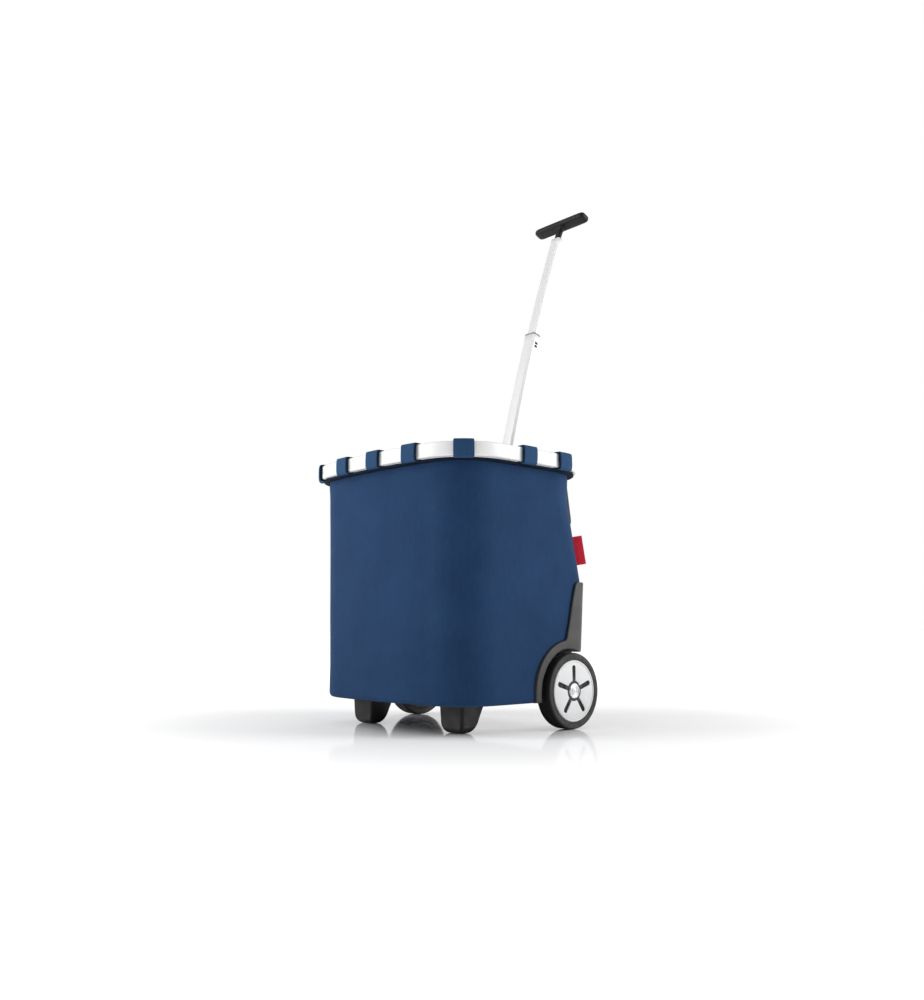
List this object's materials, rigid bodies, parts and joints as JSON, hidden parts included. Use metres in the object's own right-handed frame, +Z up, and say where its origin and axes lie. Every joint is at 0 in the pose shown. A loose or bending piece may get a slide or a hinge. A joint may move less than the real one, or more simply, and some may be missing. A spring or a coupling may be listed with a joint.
{
  "type": "shopping trolley on wheels",
  "caption": "Open fabric shopping basket on an oval metal rim, with two rear wheels on a plastic chassis, front feet and a curved telescopic pull pole with a T grip.",
  "frame": {"origin": "middle of the whole trolley footprint (pole extended) on the ground", "axes": "+Z up, +X along the wheel axle to the trolley right, +Y towards the back where the pole leans"},
  "size_m": [0.43, 0.498, 0.9796],
  "materials": {
    "satin_aluminium": "satin",
    "pole_aluminium": "satin",
    "steel": "brushed",
    "navy_fabric": "matt",
    "navy_webbing": "matt",
    "grey_board": "matt",
    "red_label": "matt",
    "dark_plastic": "satin",
    "black_plastic": "satin",
    "pale_plastic": "satin",
    "silver_plastic": "gloss",
    "tyre_rubber": "matt"
  },
  "bodies": {
    "carriage": {"rim_frame": "satin_aluminium", "bag_front": "navy_fabric", "bag_back": "navy_fabric", "bag_floor": "navy_fabric", "bag_hem": "navy_webbing", "base_board": "grey_board", "side_tag": "red_label", "chassis": "dark_plastic", "axle": "steel", "pole_outer_tube": "pole_aluminium", "pole_socket": "black_plastic", "pole_guide_ring": "black_plastic", "pole_bracket": "black_plastic", "strap_front_middle": "navy_webbing", "strap_front_right": "navy_webbing", "strap_front_corner_right": "navy_webbing", "strap_side_right": "navy_webbing", "strap_back_corner_right": "navy_webbing", "strap_back_right": "navy_webbing", "strap_front_left": "navy_webbing", "strap_front_corner_left": "navy_webbing", "strap_side_left": "navy_webbing", "strap_back_corner_left": "navy_webbing", "strap_back_left": "navy_webbing", "bag_side_right": "navy_fabric", "bag_well_right": "navy_fabric", "cart_hook_right": "black_plastic", "foot_right": "black_plastic", "foot_screw_right": "steel", "push_nut_right": "steel", "axle_spacer_right": "black_plastic", "bag_side_left": "navy_fabric", "bag_well_left": "navy_fabric", "cart_hook_left": "black_plastic", "foot_left": "black_plastic", "foot_screw_left": "steel", "push_nut_left": "steel", "axle_spacer_left": "black_plastic"},
    "wheel_right": {"tyre_right": "tyre_rubber", "wheel_disc_right": "pale_plastic", "hub_core_right": "black_plastic", "hub_bush_right": "pale_plastic", "hub_cap_right": "silver_plastic"},
    "wheel_left": {"tyre_left": "tyre_rubber", "wheel_disc_left": "pale_plastic", "hub_core_left": "black_plastic", "hub_bush_left": "pale_plastic", "hub_cap_left": "silver_plastic"},
    "lower_stage": {"lower_stage_tube": "pole_aluminium", "lower_stage_bush": "black_plastic", "lower_stage_collar": "dark_plastic", "guide_clip_1": "black_plastic", "guide_clip_2": "black_plastic"},
    "upper_stage": {"upper_stage_tube": "pole_aluminium", "upper_stage_bush": "black_plastic", "grip_neck": "black_plastic", "grip_bar": "black_plastic", "grip_end_right": "black_plastic", "grip_end_left": "black_plastic"}
  },
  "joints": [
    {"name": "wheel_spin_right", "type": "hinge", "parent": "carriage", "child": "wheel_right", "pos_m": [0.1875, 0.01935, 0.0605], "axis": [1, 0, 0], "continuous": true},
    {"name": "wheel_spin_left", "type": "hinge", "parent": "carriage", "child": "wheel_left", "pos_m": [-0.1875, 0.01935, 0.0605], "axis": [1, 0, 0], "continuous": true},
    {"name": "lower_stage_slide", "type": "hinge", "parent": "carriage", "child": "lower_stage", "pos_m": [0, 4.07676, -0.54123], "axis": [1, 0, 0], "range_deg": [0, 3.72]},
    {"name": "upper_stage_slide", "type": "hinge", "parent": "lower_stage", "child": "upper_stage", "pos_m": [0, 4.07676, -0.54123], "axis": [1, 0, 0], "range_deg": [0, 3.17]}
  ]
}
